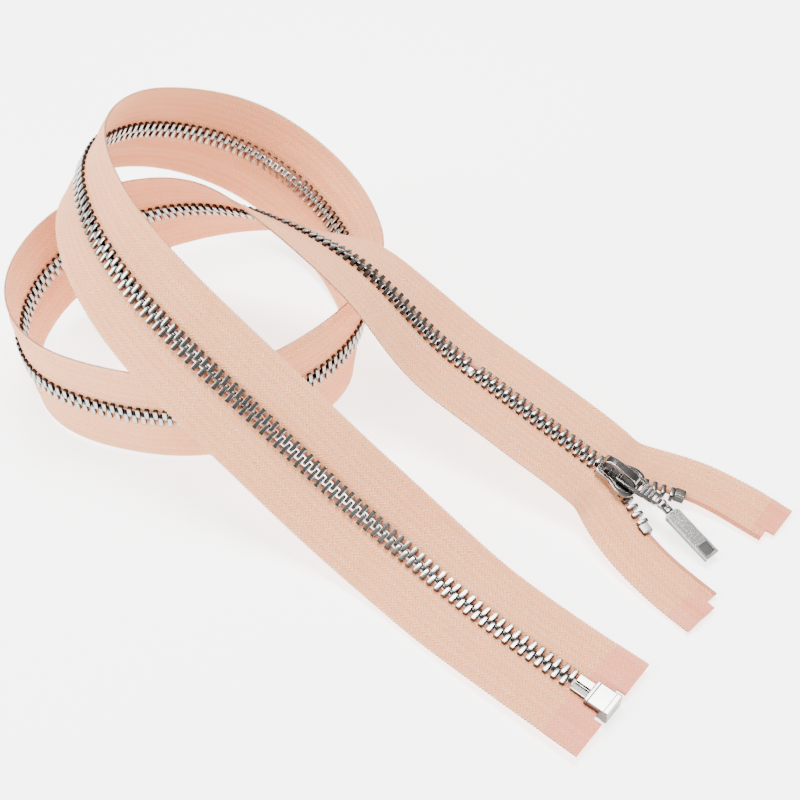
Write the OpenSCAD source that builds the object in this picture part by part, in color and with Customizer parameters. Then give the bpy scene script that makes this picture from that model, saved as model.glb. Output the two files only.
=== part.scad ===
// Separating zipper, coiled, with an automatic-lock slider and a hanging bar pull.
// Millimetres. Z is up, the coil and the two flat ends rest on Z = 0.
// s is the length along the chain: 0 at the slider's middle, growing towards the box.
// "left" is the tape on the left hand when looking from the slider towards the box.

/* [Chain] */
// Pitch of the elements on one tape
pitch = 2.5; // [2.3:0.05:2.8]
// Length of chain from the slider's middle to the end of the box
chain_end = 748; // [700:1:760]
// Thickness of an element along the chain
tooth_t = 1.04; // [0.9:0.02:1.1]
// Height of an element through the chain
tooth_h = 2.8; // [2.4:0.1:3.2]
// Middle of the chain to the end of an element's legs
leg_w = 2.75; // [2.6:0.05:3]
// How far an element's head reaches past the middle
head_w = 0.8; // [0.5:0.05:0.9]

/* [Tape] */
// Middle of the chain to the outer edge of the tape
tape_w = 15.8; // [14.5:0.1:17]
// Thickness of the woven tape
tape_t = 0.6; // [0.4:0.05:0.8]
// Thickness of the corded bead on the tape's inner edge
bead_t = 1.1; // [0.9:0.05:1.2]
// Depth of the step cut beside the box and at the top ends
notch_l = 2.4; // [1:0.1:4]
// Where the step is, from the middle of the chain
notch_w = 5.2; // [4:0.1:7]
// Length of tape past the slider's middle, left and right
top_len = 44; // [36:1:50]
// Length of the reinforcing film at the box end
film_box = 10; // [6:0.5:14]
// Length of the reinforcing film at the top ends
film_top = 6.5; // [4:0.5:10]
// Thickness of the film
film_t = 0.12; // [0.08:0.01:0.2]

/* [Slider] */
// Distance from the chain's middle to the inner face of a plate
plate_in = 1.85; // [1.5:0.05:1.9]
// Thickness of a plate
plate_t = 0.75; // [0.7:0.05:1.2]
// Width of the crown
crown_w = 2.6; // [2:0.1:3]
// Diameter of the pull link's cross pin
link_pin = 1.2; // [1:0.05:1.4]
// Length of the hanging bar
bar_l = 18.3; // [14:0.5:24]
// Width of the hanging bar
bar_w = 5; // [3:0.1:6]
// Thickness of the hanging bar
bar_t = 1.5; // [1:0.1:2.5]

/* [Box] */
// Length of the box
box_l = 6.8; // [5:0.1:9]
// Width of the box
box_w = 7.2; // [6:0.1:9]
// Height of the box
box_h = 4.4; // [3.6:0.1:5.5]
// Length of the pins that stand clear of the box
pin_l = 5.8; // [4:0.1:9]

/* [Hidden] */

// The straight run that the slider travels on
run_o = [60, -35.5, 5.5];   // the slider's middle
run_head = 141.5;           // its heading
run_rise = 12.5;            // its slope
run_d = [cos(run_head) * cos(run_rise), sin(run_head) * cos(run_rise), sin(run_rise)];
run_end = 52;               // where the run ends and the laid-out coil starts
mouth = -6.5;               // where the two tapes leave the slider
function on_run(s) = concat(run_o + s * run_d, [0]);

// The lie of the chain: x, y, z of its middle and the roll of its left edge
lay = concat([for (s = [25, 37, 49]) on_run(s)], [
  [13.5, 1.5, 19, 1], [4.5, 8.1, 24.8, 5], [-5, 14.5, 32.2, 13], [-17, 22.4, 38.2, 22],
  [-39, 37.4, 39.6, 46], [-62, 48, 35.5, 68], [-86, 49, 29, 84], [-106, 38, 22, 94],
  [-113, 15, 18, 95], [-103, -8, 17, 90], [-80, -19, 16.5, 88], [-56, -22, 16.5, 88],
  [-32, -13, 17, 86], [-15.5, 6, 16.5, 88], [-11, 30, 14.5, 110], [-16, 54, 14, 122],
  [-29, 75, 19, 128], [-48, 83, 31, 104], [-69, 77, 44, 80], [-85, 61, 54, 66],
  [-91, 38, 59, 56], [-85, 14, 56, 52], [-71, -6, 48, 46], [-54, -21, 38, 36],
  [-36, -34, 27, 34], [-18, -46, 14.5, 32], [0, -59, 5.5, 16], [18, -75.5, 2.1, 4],
  [37, -92, 1.4, 0], [56, -108, 1.4, 0]]);
nl = len(lay);
// control points of a smooth curve that runs through the points above
ctl = [for (i = [0:nl - 1]) i == 0 || i == nl - 1 ? lay[i] : lay[i] - (lay[i - 1] - 2 * lay[i] + lay[i + 1]) / 6];
cpt = concat([2 * ctl[0] - ctl[1]], ctl, [2 * ctl[nl - 1] - ctl[nl - 2]]);
function seg(u) = min(max(floor(u), 0), nl - 2);
function lay_at(u) = let (i = seg(u), f = u - i)
  (cpt[i] * pow(1 - f, 3) + cpt[i + 1] * (3 * pow(f, 3) - 6 * f * f + 4)
   + cpt[i + 2] * (-3 * pow(f, 3) + 3 * f * f + 3 * f + 1) + cpt[i + 3] * pow(f, 3)) / 6;
function lay_dir(u) = let (i = seg(u), f = u - i)
  (-cpt[i] * pow(1 - f, 2) + cpt[i + 1] * (3 * f * f - 4 * f) + cpt[i + 2] * (-3 * f * f + 2 * f + 1) + cpt[i + 3] * f * f) / 2;
function xyz(p) = [p[0], p[1], p[2]];
du = 0.05;
nu = (nl - 1) / du;
// length along the chain against the curve's own parameter
s_of_u = [for (i = 0, a = 25; i <= nu; a = a + norm(xyz(lay_at((i + 1) * du)) - xyz(lay_at(i * du))), i = i + 1) [a, i * du]];
function unit(v) = v / norm(v);
// a place on the chain: [middle, direction, towards the left edge, up out of the front]
function place(c, t, roll) = let (l = unit([-t[1], t[0], 0]), up = cross(t, l), w = l * cos(roll) + up * sin(roll))
  [c, t, w, cross(t, w)];
function coil(s) = let (u = lookup(s, s_of_u), p = lay_at(u)) place(xyz(p), unit(xyz(lay_dir(u))), p[3]);

// The two rows part inside the slider. Towards the top ends, each swings out and then back.
ds = 0.5;
part_s = 4;      // where they begin to part
part_a = 25;     // the angle of each row as it leaves the slider
left_last = 9;   // and at the top ends
right_last = -1;
function ramp(x, a, b) = let (f = min(max((x - a) / (b - a), 0), 1)) f * f * (3 - 2 * f);
function swing(s, last) = part_a * min(max((part_s - s) / 9, 0), 1) - (part_a - last) * ramp(-s, 9, 34);
function slope_at(s) = run_rise - 6.5 * ramp(-s, 7, 20) - 5 * ramp(-s, 20, 44);
function row_dir(side, s, last) = let (a = run_head - side * swing(s, last), b = slope_at(s)) [cos(a) * cos(b), sin(a) * cos(b), sin(b)];
// positions every half millimetre outwards, side 1 for left and -1 for right
function walk(side, last) = [for (i = 0, p = run_o + part_s * run_d; i <= 106;
    p = p - ds * row_dir(side, part_s - (i + 0.5) * ds, last), i = i + 1) p];
left_walk = walk(1, left_last);
right_walk = walk(-1, right_last);
function top_place(side, s) = s >= part_s ? place(run_o + s * run_d, run_d, 0) :
  let (k = (part_s - s) / ds, i = floor(k), f = k - i, q = side > 0 ? left_walk : right_walk)
  place(q[i] * (1 - f) + q[i + 1] * f, row_dir(side, s, side > 0 ? left_last : right_last), 0);
function at(side, s) = s > run_end ? coil(s) : top_place(side, s);
// a point at distance w from the middle and n out of the front, on the given side
function spot(side, s, w, n) = let (p = at(side, s)) p[0] + origin + side * w * p[2] + n * p[3];
// from the coil's own axes to the part's: its lowest point on the floor, its box centred
origin = [3.18, 14.71, 0.87];
function shifted(p) = [p[0] + origin, p[1], p[2], p[3]];
module set_at(p) {
  multmatrix([[p[1][0], p[2][0], p[3][0], p[0][0]], [p[1][1], p[2][1], p[3][1], p[0][1]], [p[1][2], p[2][2], p[3][2], p[0][2]]])
    children();
}
module put(side, s) set_at(shifted(at(side, s))) children();

// A strip: outline is [w, n, cut] round the section, cut 1 where the step shortens it. ss are its stations.
module strip(side, ss, outline, lo_cut = 0, hi_cut = 0) {
  n = len(ss);
  m = len(outline);
  pts = [for (i = [0:n - 1]) for (o = outline)
    spot(side, i == 0 ? ss[0] + o[2] * lo_cut : i == n - 1 ? ss[n - 1] - o[2] * hi_cut : ss[i], o[0], o[1])];
  flip = side > 0;
  tri = [for (i = [0:n - 2]) for (j = [0:m - 1]) let (k = (j + 1) % m, a = i * m + j, b = i * m + k, c = a + m, d = b + m)
    each [[a, c, d], [a, d, b]]];
  half = m / 2;
  // the section is a ladder of point pairs j and m - 1 - j
  cap = [for (j = [0:half - 2]) let (a = j, b = j + 1, c = m - 2 - j, d = m - 1 - j) each [[a, b, c], [a, c, d]]];
  all = concat(tri, cap, [for (t = cap) [for (q = [2, 1, 0]) t[q] + (n - 1) * m]]);
  polyhedron(points = pts, faces = flip ? all : [for (t = all) [t[2], t[1], t[0]]], convexity = 10);
}
ht = tape_t / 2;
hb = bead_t / 2;
// bead and tape, as lower points outwards then upper points back
tape_sec = [[1.1, -hb, 1], [2.35, -hb, 1], [2.5, -ht, 1], [notch_w - 0.02, -ht, 1], [notch_w + 0.02, -ht, 0], [tape_w, -ht, 0],
            [tape_w, ht, 0], [notch_w + 0.02, ht, 0], [notch_w - 0.02, ht, 1], [2.5, ht, 1], [2.35, hb, 1], [1.1, hb, 1]];
hf = ht + 0.04;
film_sec = [[2.9, hf, 1], [notch_w - 0.02, hf, 1], [notch_w + 0.02, hf, 0], [tape_w, hf, 0],
            [tape_w, hf + film_t, 0], [notch_w + 0.02, hf + film_t, 0], [notch_w - 0.02, hf + film_t, 1], [2.9, hf + film_t, 1]];
// stations along the coil, closer where it turns
step = 4;
n_main = round((chain_end - notch_l - 0.1 - run_end) / step);
main_ss = concat([for (i = [0:n_main]) run_end + (chain_end - notch_l - 0.1 - run_end) * i / n_main], [chain_end]);
top_out = -top_len;
top_ss = concat([top_out, top_out + notch_l + 0.1], [for (s = [top_out + 5:2.5:-9]) s], [mouth - 0.02]);
run_ss = [mouth + 0.02, -5, -3.5, -2, -0.5, 1, 2.5, 4, run_end - 0.02];

module tape_main(side) strip(side, main_ss, tape_sec, 0, notch_l);
module tape_run(side) strip(side, run_ss, tape_sec);
module tape_top(side) strip(side, top_ss, tape_sec, notch_l);
module film_main(side) strip(side, [chain_end - film_box, chain_end - notch_l - 0.1, chain_end], film_sec, 0, notch_l);
module film_end(side) strip(side, [top_out, top_out + notch_l + 0.1, top_out + film_top], film_sec, notch_l);

// Clears the bead and the tape out of anything clamped over them
module grip(w_out, l) {
  translate([-l, 0.98, -hb - 0.13]) cube([2 * l, 1.6, bead_t + 0.26]);
  translate([-l, 2.4, -ht - 0.1]) cube([2 * l, w_out, tape_t + 0.2]);
}
module tooth(side) mirror([0, side > 0 ? 0 : 1, 0]) difference() {
  translate([0, 0, -tooth_h / 2]) linear_extrude(tooth_h)
    polygon([[-0.33, -head_w], [0.33, -head_w], [tooth_t / 2, 0.6], [tooth_t / 2, leg_w], [-tooth_t / 2, leg_w], [-tooth_t / 2, 0.6]]);
  grip(1, 2);
}
// element positions: left on the half millimetre, right half a pitch on
left_k = 0.5;
right_k = 0.5 + pitch / 2;
last_tooth = chain_end - box_l - pin_l + 0.2;
function row(k, a, b) = [for (i = [ceil((a - k) / pitch):floor((b - k) / pitch)]) k + i * pitch];
module teeth(side, a, b) for (s = row(side > 0 ? left_k : right_k, a, b)) put(side, s) tooth(side);

module stop_block(side) mirror([0, side > 0 ? 0 : 1, 0]) difference() {
  translate([-1.5, 0, 0]) rotate([90, 0, 90]) linear_extrude(3)
    polygon([[0.1, -1], [0.6, -1.6], [2.7, -1.6], [3.2, -1], [3.2, 1], [2.7, 1.6], [0.6, 1.6], [0.1, 1]]);
  grip(2, 3);
}
left_stop_s = -16.6;
right_stop_s = -17.85;

module pin(side, l) mirror([0, side > 0 ? 0 : 1, 0]) difference() {
  translate([0, 0.15, -1.4]) cube([l, 2.35, 2.8]);
  grip(2, 20);
}
pin_s = chain_end - box_l - pin_l + 1.3;
pin_len = pin_l + box_l - 1.3 - 1.3;
module box_block() difference() {
  translate([-box_l, 0, 0]) rotate([90, 0, 90]) linear_extrude(box_l + 0.2)
    polygon([[-box_w / 2, -box_h / 2 + 0.7], [-box_w / 2 + 0.7, -box_h / 2], [box_w / 2 - 0.7, -box_h / 2], [box_w / 2, -box_h / 2 + 0.7],
             [box_w / 2, box_h / 2 - 0.7], [box_w / 2 - 0.7, box_h / 2], [-box_w / 2 + 0.7, box_h / 2], [-box_w / 2, box_h / 2 - 0.7]]);
  translate([-box_l - 1, 0.1, -1.45]) cube([box_l, 2.45, 2.9]);
  translate([-box_l - 1, -2.55, -1.45]) cube([box_l, 2.45, 2.9]);
  translate([-box_l - 1, -box_w, -ht - 0.22]) cube([box_l, 2 * box_w, tape_t + 0.44]);
  translate([-0.1, -0.9, 0.6]) cube([1, 1.8, 0.7]);
}

// Slider, in its own axes: x towards the box, y left, z up out of the front
ptop = plate_in + plate_t;
plate_2d = [[6, 3.1], [5.5, 3.65], [2, 3.75], [-0.6, 4.6], [-3.2, 5.4], [-4.6, 5.3], [-5.9, 4.6], [-6.6, 3.6]];
rim_2d = [[5.6, 3.05], [5.5, 3.65], [2, 3.75], [-0.6, 4.6], [-3.2, 5.4], [-3.5, 4.95], [-1.4, 4.15], [0.6, 3.5], [3, 3.05]];
function mir(p) = [for (i = [len(p) - 1:-1:0]) [p[i][0], -p[i][1]]];
module plate(inset = 0, h = plate_t) linear_extrude(h) offset(delta = -inset) polygon(concat(plate_2d, mir(plate_2d)));
module rim(h) for (q = [0, 1]) mirror([0, q, 0]) linear_extrude(h) polygon(rim_2d);
// one plate with a bevelled outer face
module shell() {
  linear_extrude(plate_t - 0.35) polygon(concat(plate_2d, mir(plate_2d)));
  translate([0, 0, plate_t - 0.35]) linear_extrude(0.35) polygon(concat(face_2d, mir(face_2d)));
}
face_2d = [[5.7, 2.9], [5.3, 3.35], [1.9, 3.45], [-0.7, 4.3], [-3.2, 5.05], [-4.4, 4.95], [-5.6, 4.35], [-6.3, 3.4]];
module slider_solid() difference() {
  union() {
    translate([0, 0, plate_in]) shell();
    mirror([0, 0, 1]) translate([0, 0, plate_in]) shell();
    translate([0, 0, 0.8]) rim(plate_in - 0.75);
    translate([0, 0, -plate_in - 0.05]) rim(plate_in - 0.75);
    translate([0, 0, -plate_in - 0.1]) linear_extrude(2 * plate_in + 0.2)
      polygon([[-3.3, 0], [-5.2, 0.5], [-6.2, 0.65], [-6.5, 0.55], [-6.5, -0.55], [-6.2, -0.65], [-5.2, -0.5]]);
  }
  translate([1.7, -0.55, 1]) cube([1, 1.1, 3]);
}
crown_out = [[5.7, ptop], [5.35, 4.6], [4.3, 5.75], [2.6, 6.15], [-3.4, 6.15], [-5.1, 5.7], [-6.1, 4.7], [-6.4, ptop]];
crown_in = [[-5, ptop], [-4.9, 4.3], [-3.8, 5.15], [3.1, 5.15], [4.3, 4.3], [4.4, ptop]];
module crown_solid() translate([0, crown_w / 2, 0]) rotate([90, 0, 0]) linear_extrude(crown_w) polygon(concat(crown_out, crown_in));
module spring_solid() {
  translate([1.8, -0.45, 1.5]) cube([0.8, 0.9, 2.8]);
  translate([-2.2, -0.8, 4.2]) cube([5.2, 1.6, 0.35]);
}
link_x = -0.6;
link_z = 3.45;
// The pull link lies towards the top ends: its own x runs out along it from its pin
module link_solid() {
  difference() {
    translate([0, 0, -0.5]) linear_extrude(1)
      polygon([[-0.45, -2.8], [6, -2.85], [7.4, -2.5], [11.2, -2.1], [12.6, -1.7], [13, -1],
               [13, 1], [12.6, 1.7], [11.2, 2.1], [7.4, 2.5], [6, 2.85], [-0.45, 2.8]]);
    translate([-2, -1.65, -1]) cube([8.9, 3.3, 2]);
    translate([10.6, -1.05, -1]) cube([1.4, 2.1, 2]);
    for (z = [0.4, -1.4]) translate([10.3, -3, z]) cube([4, 6, 1]);
  }
  translate([ring_x, 1.2, 0]) rotate([90, 0, 0]) cylinder(d = 0.96, h = 2.4, $fn = 32);
  translate([0, 2.2, 0]) rotate([90, 0, 0]) cylinder(d = link_pin, h = 4.4, $fn = 32);
  translate([8, -1.7, 0.45]) cube([0.6, 3.4, 0.4]);
  translate([9.2, -1.6, 0.45]) cube([0.6, 3.2, 0.4]);
}
// The ring hooks through the link's eye and carries the bar
ring_x = 12.45;
ring_d = 1.85;
ring_r = 1.9;
module ring_solid() rotate([90, 0, 0]) translate([0.85, 0, 0]) rotate_extrude($fn = 48) translate([ring_r, 0]) circle(d = 0.6, $fn = 16);
module bar_solid() {
  difference() {
    translate([0, 0, -bar_t / 2]) linear_extrude(bar_t)
      polygon([[-0.75, -0.9], [-0.45, -1.2], [2.2, -1.3], [3, -bar_w / 2], [bar_l, -bar_w / 2], [bar_l, bar_w / 2], [3, bar_w / 2], [2.2, 1.3], [-0.45, 1.2], [-0.75, 0.9]]);
    translate([0.35, -0.65, -2]) cube([1.4, 1.3, 4]);
    for (z = [0.4, -1.4]) translate([-2, -3, z]) cube([4.1, 6, 1]);
    translate([bar_l - 4.2, -bar_w / 2 + 0.8, bar_t / 2 - 0.5]) cube([3.2, bar_w - 1.6, 1]);
  }
  translate([0, 1.1, 0]) rotate([90, 0, 0]) cylinder(d = 0.9, h = 2.2, $fn = 32);
}
ring_yaw = -8;
bar_yaw = -11;
bar_dip = 2;
module in_slider() set_at(shifted(place(run_o, run_d, 0))) children();
module in_link() in_slider() translate([link_x, 0, link_z]) rotate([0, 0, 180]) children();

module left_tape() color("#f0cdb4") tape_main(1);
module right_tape() color("#f0cdb4") tape_main(-1);
module left_tape_run() color("#f0cdb4") tape_run(1);
module right_tape_run() color("#f0cdb4") tape_run(-1);
module left_tape_top() color("#f0cdb4") tape_top(1);
module right_tape_top() color("#f0cdb4") tape_top(-1);
module left_teeth() color("#c9c7c4") teeth(1, run_end, last_tooth);
module right_teeth() color("#c9c7c4") teeth(-1, run_end, last_tooth);
module left_teeth_run() color("#c9c7c4") teeth(1, mouth, run_end - 0.6);
module right_teeth_run() color("#c9c7c4") teeth(-1, mouth, run_end - 0.6);
module left_teeth_top() color("#c9c7c4") teeth(1, left_stop_s + 1.6, mouth);
module right_teeth_top() color("#c9c7c4") teeth(-1, right_stop_s + 1.6, mouth);
module left_stop() color("#b5b4b0") put(1, left_stop_s) stop_block(1);
module right_stop() color("#b5b4b0") put(-1, right_stop_s) stop_block(-1);
module left_film_box() color("#e8b8a2") film_main(1);
module right_film_box() color("#e8b8a2") film_main(-1);
module left_film_top() color("#e8b8a2") film_end(1);
module right_film_top() color("#e8b8a2") film_end(-1);
module box() color("#d3d2cf") put(1, chain_end) box_block();
module retainer_pin() color("#d3d2cf") put(-1, pin_s) pin(-1, pin_len);
module insertion_pin() color("#d3d2cf") put(1, pin_s) pin(1, pin_len);
module slider_body() color("#8e8c88") in_slider() slider_solid();
module slider_crown() color("#97958f") in_slider() crown_solid();
module lock_spring() color("#7c7a76") in_slider() spring_solid();
module pull_link() color("#9c9a96") in_link() link_solid();
module pull_ring() color("#8e8c88") in_link() translate([ring_x, 0, 0]) rotate([0, 0, ring_yaw]) ring_solid();
module pull_bar() color("#b9b8b4") in_link() translate([ring_x, 0, 0]) rotate([0, 0, ring_yaw]) translate([ring_d, 0, 0]) rotate([0, bar_dip, bar_yaw - ring_yaw]) bar_solid();

left_tape();
right_tape();
left_tape_run();
right_tape_run();
left_tape_top();
right_tape_top();
left_teeth();
right_teeth();
left_teeth_run();
right_teeth_run();
left_teeth_top();
right_teeth_top();
left_stop();
right_stop();
left_film_box();
right_film_box();
left_film_top();
right_film_top();
box();
retainer_pin();
insertion_pin();
slider_body();
slider_crown();
lock_spring();
pull_link();
pull_ring();
pull_bar();
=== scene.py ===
import math
import bpy, bmesh
import numpy as np
from mathutils import Matrix, Vector


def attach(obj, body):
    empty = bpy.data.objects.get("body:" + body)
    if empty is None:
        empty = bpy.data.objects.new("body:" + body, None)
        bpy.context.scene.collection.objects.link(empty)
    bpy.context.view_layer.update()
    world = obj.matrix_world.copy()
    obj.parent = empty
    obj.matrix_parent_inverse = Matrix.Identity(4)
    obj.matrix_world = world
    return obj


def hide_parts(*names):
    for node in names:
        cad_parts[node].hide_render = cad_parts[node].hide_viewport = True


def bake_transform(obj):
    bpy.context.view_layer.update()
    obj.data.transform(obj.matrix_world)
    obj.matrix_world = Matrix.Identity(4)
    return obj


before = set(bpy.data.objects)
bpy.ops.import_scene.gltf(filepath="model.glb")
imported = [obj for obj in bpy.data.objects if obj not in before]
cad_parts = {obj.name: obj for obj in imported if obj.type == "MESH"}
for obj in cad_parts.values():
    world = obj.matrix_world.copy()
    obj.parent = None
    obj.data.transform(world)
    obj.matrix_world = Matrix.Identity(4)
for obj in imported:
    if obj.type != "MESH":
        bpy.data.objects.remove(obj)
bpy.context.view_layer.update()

# ---------------------------------------------------------------- the lie of the chain, millimetres
ORIGIN = np.array([3.18, 14.71, 0.87])
RUN_O = np.array([60, -35.5, 5.5]); RUN_HEAD, RUN_RISE, RUN_END = 141.5, 12.5, 52.0
CHAIN_END, MOUTH, TOP_LEN, NOTCH_L, NOTCH_W, TAPE_W = 748.0, -6.5, 44.0, 2.4, 5.2, 15.8
PITCH, BOX_L, PIN_L = 2.5, 6.8, 5.8
PART_S, PART_A = 4.0, 25.0
LAST = {1: 9.0, -1: -1.0}
STOP_S = {1: -16.6, -1: -17.85}


def dvec(h, r):
    h, r = np.radians(h), np.radians(r)
    return np.stack([np.cos(h) * np.cos(r), np.sin(h) * np.cos(r), np.sin(r) + 0 * h], -1)


RUN_D = dvec(RUN_HEAD, RUN_RISE)
LAY = np.array([list(RUN_O + s * RUN_D) + [0] for s in (25, 37, 49)] + [
    [13.5, 1.5, 19, 1], [4.5, 8.1, 24.8, 5], [-5, 14.5, 32.2, 13], [-17, 22.4, 38.2, 22],
    [-39, 37.4, 39.6, 46], [-62, 48, 35.5, 68], [-86, 49, 29, 84], [-106, 38, 22, 94],
    [-113, 15, 18, 95], [-103, -8, 17, 90], [-80, -19, 16.5, 88], [-56, -22, 16.5, 88],
    [-32, -13, 17, 86], [-15.5, 6, 16.5, 88], [-11, 30, 14.5, 110], [-16, 54, 14, 122],
    [-29, 75, 19, 128], [-48, 83, 31, 104], [-69, 77, 44, 80], [-85, 61, 54, 66],
    [-91, 38, 59, 56], [-85, 14, 56, 52], [-71, -6, 48, 46], [-54, -21, 38, 36],
    [-36, -34, 27, 34], [-18, -46, 14.5, 32], [0, -59, 5.5, 16], [18, -75.5, 2.1, 4],
    [37, -92, 1.4, 0], [56, -108, 1.4, 0]], float)
NL = len(LAY)
_c = LAY.copy(); _c[1:-1] = LAY[1:-1] - (LAY[:-2] - 2 * LAY[1:-1] + LAY[2:]) / 6
CPT = np.vstack([2 * _c[0] - _c[1], _c, 2 * _c[-1] - _c[-2]])


def _seg(u):
    i = np.clip(np.floor(u).astype(int), 0, NL - 2)
    return CPT[i], CPT[i + 1], CPT[i + 2], CPT[i + 3], (u - i)[:, None]


def lay_at(u):
    a, b, c, d, f = _seg(u)
    return (a * (1 - f) ** 3 + b * (3 * f ** 3 - 6 * f * f + 4) + c * (-3 * f ** 3 + 3 * f * f + 3 * f + 1) + d * f ** 3) / 6


def lay_dir(u):
    a, b, c, d, f = _seg(u)
    return (-a * (1 - f) ** 2 + b * (3 * f * f - 4 * f) + c * (-3 * f * f + 2 * f + 1) + d * f * f) / 2


_us = np.arange(0, NL - 1 + 1e-9, 0.05)
_su = np.concatenate([[25], 25 + np.cumsum(np.linalg.norm(np.diff(lay_at(_us)[:, :3], axis=0), axis=1))])


def ramp(x, a, b):
    f = np.clip((x - a) / (b - a), 0, 1)
    return f * f * (3 - 2 * f)


def row_dir(side, s):
    sw = PART_A * np.clip((PART_S - s) / 9, 0, 1) - (PART_A - LAST[side]) * ramp(-s, 9, 34)
    sl = RUN_RISE - 6.5 * ramp(-s, 7, 20) - 5 * ramp(-s, 20, 44)
    return dvec(RUN_HEAD - side * sw, sl)


def _walk(side):
    p = [RUN_O + PART_S * RUN_D]
    for i in range(106):
        p.append(p[-1] - 0.5 * row_dir(side, np.array([PART_S - (i + 0.5) * 0.5]))[0])
    return np.array(p)


WALK = {1: _walk(1), -1: _walk(-1)}


def place(side, s):
    """middle, direction, towards the left, out of the front, for each s on a side's row"""
    s = np.atleast_1d(np.asarray(s, float))
    c, t, roll = np.zeros((len(s), 3)), np.zeros((len(s), 3)), np.zeros(len(s))
    m = s > RUN_END
    if m.any():
        u = np.interp(s[m], _su, _us)
        p = lay_at(u); c[m] = p[:, :3]; roll[m] = p[:, 3]; t[m] = lay_dir(u)[:, :3]
    m2 = (s <= RUN_END) & (s >= PART_S)
    c[m2] = RUN_O + s[m2][:, None] * RUN_D; t[m2] = RUN_D
    m3 = s < PART_S
    if m3.any():
        k = (PART_S - s[m3]) / 0.5; i = np.clip(np.floor(k).astype(int), 0, 105); f = (k - i)[:, None]
        c[m3] = WALK[side][i] * (1 - f) + WALK[side][i + 1] * f; t[m3] = row_dir(side, s[m3])
    t /= np.linalg.norm(t, axis=1, keepdims=True)
    l = np.stack([-t[:, 1], t[:, 0], 0 * t[:, 0]], 1); l /= np.linalg.norm(l, axis=1, keepdims=True)
    up = np.cross(t, l); r = np.radians(roll)[:, None]
    w = l * np.cos(r) + up * np.sin(r)
    return c + ORIGIN, t, w, np.cross(t, w)


def eased(side, s, reach=11.0):
    """the widthways direction averaged over a stretch of the row: cloth away from the chain turns gently"""
    acc = 0
    for d, k in zip(np.linspace(-reach, reach, 13), np.hanning(15)[1:-1]):
        acc = acc + k * place(side, np.clip(s + d, -TOP_LEN - 4, CHAIN_END))[2]
    return acc / np.linalg.norm(acc, axis=1, keepdims=True)


def across(side, s, w_dir, W):
    """offset from the row's middle at width W, with the eased direction outside the firm band"""
    e = eased(side, s) if np.min(s) < 40 else w_dir
    return np.minimum(W, 4.0)[..., None] * w_dir[:, None, :] + np.maximum(W - 4.0, 0)[..., None] * e[:, None, :]


# ---------------------------------------------------------------- mesh helpers
def add_mesh(name, verts, faces, mat, smooth=True, attrs=None, auto=None):
    me = bpy.data.meshes.new(name)
    me.from_pydata([tuple(v) for v in np.asarray(verts) * 0.001], [], [tuple(int(i) for i in f) for f in faces])
    me.validate(); me.update()
    for k, v in (attrs or {}).items():
        a = me.attributes.new(k, "FLOAT_VECTOR", "POINT"); a.data.foreach_set("vector", np.asarray(v, np.float32).ravel())
    me.polygons.foreach_set("use_smooth", [smooth] * len(me.polygons))
    me.materials.append(mat)
    o = bpy.data.objects.new(name, me); bpy.context.scene.collection.objects.link(o)
    if auto is not None:
        sharp_by_angle(o, auto)
    return o


def sharp_by_angle(o, deg):
    bm = bmesh.new(); bm.from_mesh(o.data)
    for e in bm.edges:
        e.smooth = not (len(e.link_faces) == 2 and e.calc_face_angle(0) > math.radians(deg))
    bm.to_mesh(o.data); bm.free()


def noise1(n, scale, seed):
    """smooth random curve through n samples, one knot every scale samples"""
    r = np.random.default_rng(seed); k = int(n / scale) + 4
    v = r.uniform(-1, 1, k); x = np.arange(n) / scale
    i = x.astype(int); f = x - i; f = f * f * (3 - 2 * f)
    return v[i] * (1 - f) + v[i + 1] * f


def slab(name, side, ss, ws, top, bot, keep, mat):
    """a strip over a grid of stations ss and widths ws; keep(s, w) says which cells are cloth"""
    ss, ws = np.asarray(ss, float), np.asarray(ws, float)
    c, t, w, n = place(side, ss)
    S, W = np.meshgrid(ss, ws, indexing="ij")
    wo = W.copy()
    edge = W >= TAPE_W - 0.01
    wo[edge] += np.where(np.arange(len(ss)) % 2 == 0, 0.24, -0.08)[:, None].repeat(len(ws), 1)[edge]
    base = c[:, None, :] + side * across(side, ss, w, wo)
    T = base + top(S, W)[..., None] * n[:, None, :]
    B = base + bot(S, W)[..., None] * n[:, None, :]
    nr, nc = S.shape
    K = keep((S[:-1, :-1] + S[1:, 1:]) / 2, (W[:-1, :-1] + W[1:, 1:]) / 2)
    ids = np.arange(nr * nc).reshape(nr, nc); N0 = nr * nc
    a, b, d, e = ids[:-1, :-1][K], ids[1:, :-1][K], ids[1:, 1:][K], ids[:-1, 1:][K]
    up = np.stack([a, b, d, e], 1); dn = np.stack([e, d, b, a], 1) + N0
    walls = []
    P = np.pad(K, 1)
    for (di, dj, p, q) in ((0, -1, ids[:-1, :-1], ids[1:, :-1]), (1, 0, ids[1:, :-1], ids[1:, 1:]),
                           (0, 1, ids[1:, 1:], ids[:-1, 1:]), (-1, 0, ids[:-1, 1:], ids[:-1, :-1])):
        nb = P[1 + di:1 + di + K.shape[0], 1 + dj:1 + dj + K.shape[1]]
        m = K & ~nb
        x, y = p[m], q[m]
        walls.append(np.stack([y, x, x + N0, y + N0], 1))
    F = np.vstack([up, dn] + walls)
    if side < 0:
        F = F[:, ::-1]
    V = np.vstack([T.reshape(-1, 3), B.reshape(-1, 3)])
    co = np.stack([S, W, np.full_like(S, side)], -1).reshape(-1, 3)
    co = np.vstack([co, co + [0, 40, 0]])
    used = np.unique(F); back = -np.ones(len(V), int); back[used] = np.arange(len(used))
    return add_mesh(name, V[used], back[F], mat, attrs={"tc": co[used]}, auto=50)


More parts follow.
